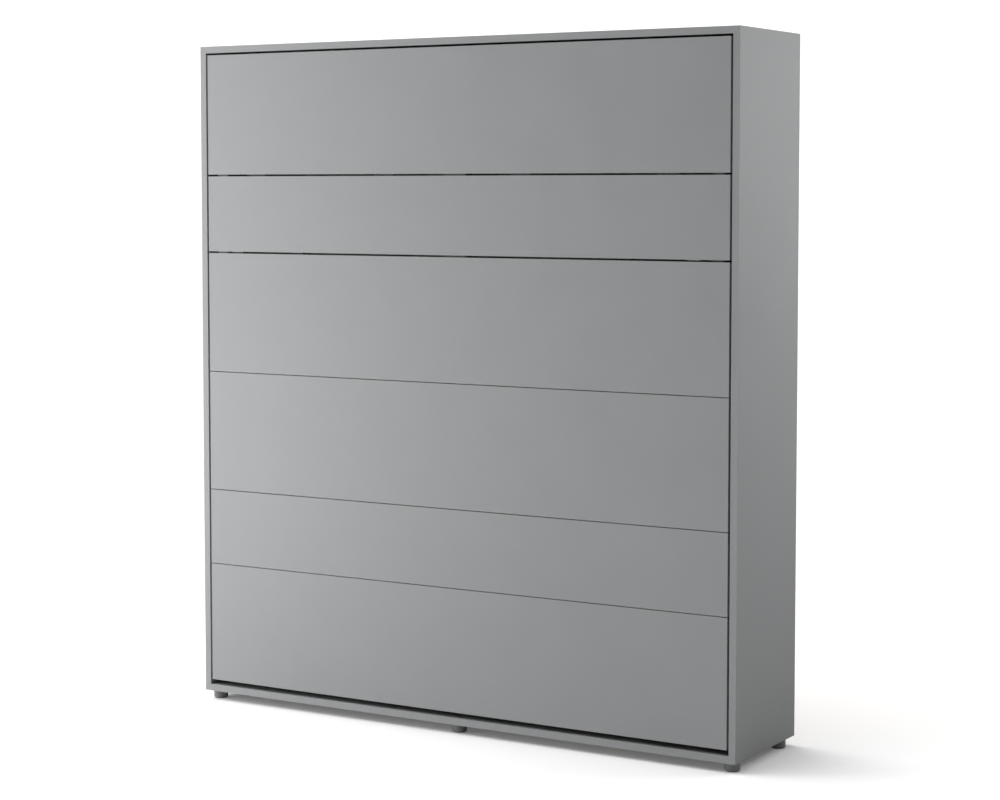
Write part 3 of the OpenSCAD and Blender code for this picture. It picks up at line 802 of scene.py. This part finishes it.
def cross_heads(name, node, **shape):
    """Gives each flush head of a CAD node's screws a recessed face that looks into the cabinet."""
    below_face = 0.15 * MM
    bm = bmesh.new()
    for points in islands(node):
        inner = min(abs(p.x) for p in points)
        low, high = extent([p for p in points if abs(p.x) < inner + 0.1 * MM])
        side = math.copysign(1.0, low.x)
        center = (low + high) / 2 - Vector((side * below_face, 0, 0))
        recessed_disc(bm, center, (-side, 0, 0), **shape)
    finish_piece(new_object(name, bm, MATERIALS["zinc_steel"], 30.0), "cabinet", "zinc_steel")


def recessed_heads():
    """The screws and cam fittings that show inside the cabinet."""
    screw = {"radius": 4.9 * MM, "recess": 2.6 * MM, "slot": 0.7 * MM, "depth": 1.5 * MM}
    cross_heads("plate_screw_heads", "cabinet_plate_screws", **screw)
    cross_heads("bracket_screw_heads", "strut_bracket_screws", **screw)
    cross_heads("cam_heads", "cam_fittings", radius=7.4 * MM, recess=4.2 * MM, slot=1.1 * MM, depth=2.5 * MM)


# ---------------------------------------------------------------- gas struts

def strut_lines(joints):
    """Where each strut's upper eye is and which way its rod slides in, from the joints."""
    found = {}
    for joint in joints:
        kind, _, side = joint["name"].rpartition("_")
        if kind == "strut_swing":
            found.setdefault(side, {})["eye"] = Vector(joint["pos_m"])
        if kind == "strut_slide":
            found.setdefault(side, {})["up"] = Vector(joint["axis"]).normalized()
    return found


def tube_profile(radius, bore, top, end):
    """A cylinder's outline from its domed cap at top to its open end, then back inside it.
    Heights run from the upper eye towards the rod."""
    groove = radius - 1.1 * MM
    return [(0.0, top), (radius - 4 * MM, top), (radius - 1.2 * MM, top + 1.2 * MM), (radius, top + 4 * MM),
            (radius, end - 24 * MM), (groove, end - 22.5 * MM), (groove, end - 20.5 * MM),
            (radius, end - 19 * MM), (radius, end - 3 * MM), (radius - 0.6 * MM, end - 1 * MM),
            (bore + 0.2 * MM, end), (bore, end - 1.2 * MM), (bore, top + 8 * MM), (0.0, top + 8 * MM)]


def strut_cylinders():
    """Gas strut cylinders: domed cap, crimped groove above the gland, forged eye."""
    wall, top = 1.5 * MM, 18 * MM
    shank = in_mm((0, 6.2), (4, 6.2), (4, 12), (6, 15), (6, 18.5), (0, 18.5))
    eye_ring = in_mm((4.05, -4.6), (4.5, -5), (8.8, -5), (9.9, -3.8), (9.9, 3.8), (8.8, 5), (4.5, 5),
                     (4.05, 4.6), (4.05, -4.6))
    for side, line in strut_lines(frame["joints"]).items():
        node = "strut_cylinder_" + side
        low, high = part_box(node)
        eye, down = line["eye"], -line["up"]
        radius = (high.x - low.x) / 2
        length = (eye.z - low.z + radius * down.y) / -down.z
        bm = bmesh.new()
        lathe(bm, tube_profile(radius, radius - wall, top, length), eye, down, 40)
        lathe(bm, shank, eye, down, 24)
        lathe(bm, eye_ring, eye, (1, 0, 0), 40)
        obj = new_object("strut_tube_" + side, bm, MATERIALS["strut_black"])
        finish_piece(obj, "strut_cylinder_" + side[0], "strut_black", node)


# ---------------------------------------------------------------- welds

WELDED_TUBES = ("head_tubes", "leg_tubes_upper", "leg_tubes_lower", "seam_tubes_upper", "seam_tubes_middle",
                "seam_tubes_lower", "foot_tubes")


def weld_beads():
    """Lumpy beads where each cross tube meets a side rail and the centre beam."""
    bm = bmesh.new()
    for node in WELDED_TUBES:
        for low, high in map(extent, islands(node)):
            for x, into in ((low.x, 1), (high.x, -1)):
                for z, out in ((low.z, -1), (high.z, 1)):
                    bead(bm, x + into * 0.6 * MM, into, low.y + 1 * MM, high.y, z, out)
    finish_piece(new_object("weld_beads", bm, MATERIALS["steel_paint"], 60.0), "bed", "steel_paint")


def bead(bm, x, into, y0, y1, z, out):
    """One bead along Y in the corner between a tube's side and a rail, as overlapping ripples."""
    step, sides, sunk = 2.2 * MM, 6, 0.2 * MM
    count = int((y1 - y0) / step)
    rings = []
    for k in range(count + 1):
        y = y0 + (y1 - y0) * k / count
        swell = (2.1 + 0.4 * math.sin(k * 1.9) + 0.3 * math.sin(k * 0.7)) * MM
        if k in (0, count):
            swell *= 0.3
        rings.append([bm.verts.new((x + into * swell * math.cos(a), y,
                                    z + out * (sunk + 0.8 * swell * math.sin(a)))) for a in turn(sides)])
    join_rings(bm, rings)
    close_ends(bm, rings)


# ---------------------------------------------------------------- stage

def add_area(name, location, target, size, power, spread=180):
    """A rectangular light that looks at target and isn't seen itself."""
    light = bpy.data.lights.new(name, "AREA")
    light.shape = "RECTANGLE"
    light.size, light.size_y = size
    light.energy = power
    light.spread = math.radians(spread)
    obj = bpy.data.objects.new(name, light)
    obj.location = location
    direction = Vector(target) - Vector(location)
    obj.rotation_euler = direction.to_track_quat("-Z", "Y").to_euler()
    obj.visible_camera = False
    SCENE.collection.objects.link(obj)


def floor():
    """White paper, which throws less light back at the bed than it shows, with a slight glow."""
    shown, thrown, glow = (0.92, 0.92, 0.92), (0.55, 0.55, 0.55), 0.11
    bm = bmesh.new()
    bmesh.ops.create_grid(bm, x_segments=8, y_segments=8, size=30.0)
    paper = Shader("paper", shown, 0.95)
    seen = paper.add("ShaderNodeLightPath").outputs["Is Camera Ray"]
    paper.color(paper.mix(seen, thrown, shown))
    paper.bsdf.inputs["Emission Color"].default_value = (1.0, 0.99, 0.97, 1.0)
    paper.link(paper.math("MULTIPLY", seen, glow), paper.bsdf.inputs["Emission Strength"])
    new_object("floor", bm, paper.mat)


def studio():
    """A white background that lights the bed only faintly."""
    thrown, shown = 0.08, 1.2
    world = bpy.data.worlds.new("studio")
    world.use_nodes = True
    SCENE.world = world
    nodes, links = world.node_tree.nodes, world.node_tree.links
    path = nodes.new("ShaderNodeLightPath")
    strength = nodes.new("ShaderNodeMapRange")
    strength.inputs["To Min"].default_value = thrown
    strength.inputs["To Max"].default_value = shown
    links.new(path.outputs["Is Camera Ray"], strength.inputs["Value"])
    background = nodes["Background"]
    background.inputs["Color"].default_value = (1, 1, 1, 1)
    links.new(strength.outputs["Result"], background.inputs["Strength"])


def lights():
    """Soft light from above and the left, a tall key at the front left, a small one on the side."""
    sun = bpy.data.lights.new("overhead", "SUN")
    sun.energy = 3.75
    sun.angle = math.radians(80)
    overhead = bpy.data.objects.new("overhead", sun)
    overhead.rotation_euler = (math.radians(4), math.radians(-30), 0)
    SCENE.collection.objects.link(overhead)
    add_area("key", (-2.4, -1.9, 1.0), (-0.4, -0.2, 1.0), (1.2, 4.4), 66)
    add_area("low_key", (-1.9, -1.8, 0.5), (-0.6, -0.2, 0.5), (0.8, 0.8), 4.8)
    add_area("side", (2.7, 1.5, 2.4), (0.97, 0.15, 1.5), (1.4, 1.6), 12, spread=90)


def camera():
    """A long lens at the front right, looking a little down."""
    down, left = 3.8048, 31.0210
    data = bpy.data.cameras.new("camera")
    data.sensor_width = 36.0
    data.lens = 82.237
    data.shift_y = -0.06
    obj = bpy.data.objects.new("camera", data)
    obj.location = (3.7749, -6.1979, 1.7107)
    obj.rotation_euler = (math.radians(90 - down), 0, math.radians(left))
    SCENE.collection.objects.link(obj)
    SCENE.camera = obj


camera()
floor()
studio()
lights()
dress_cad_nodes()
mattress()
straps()
buckles()
strut_cylinders()
weld_beads()
recessed_heads()

SCENE.view_settings.view_transform = "Standard"
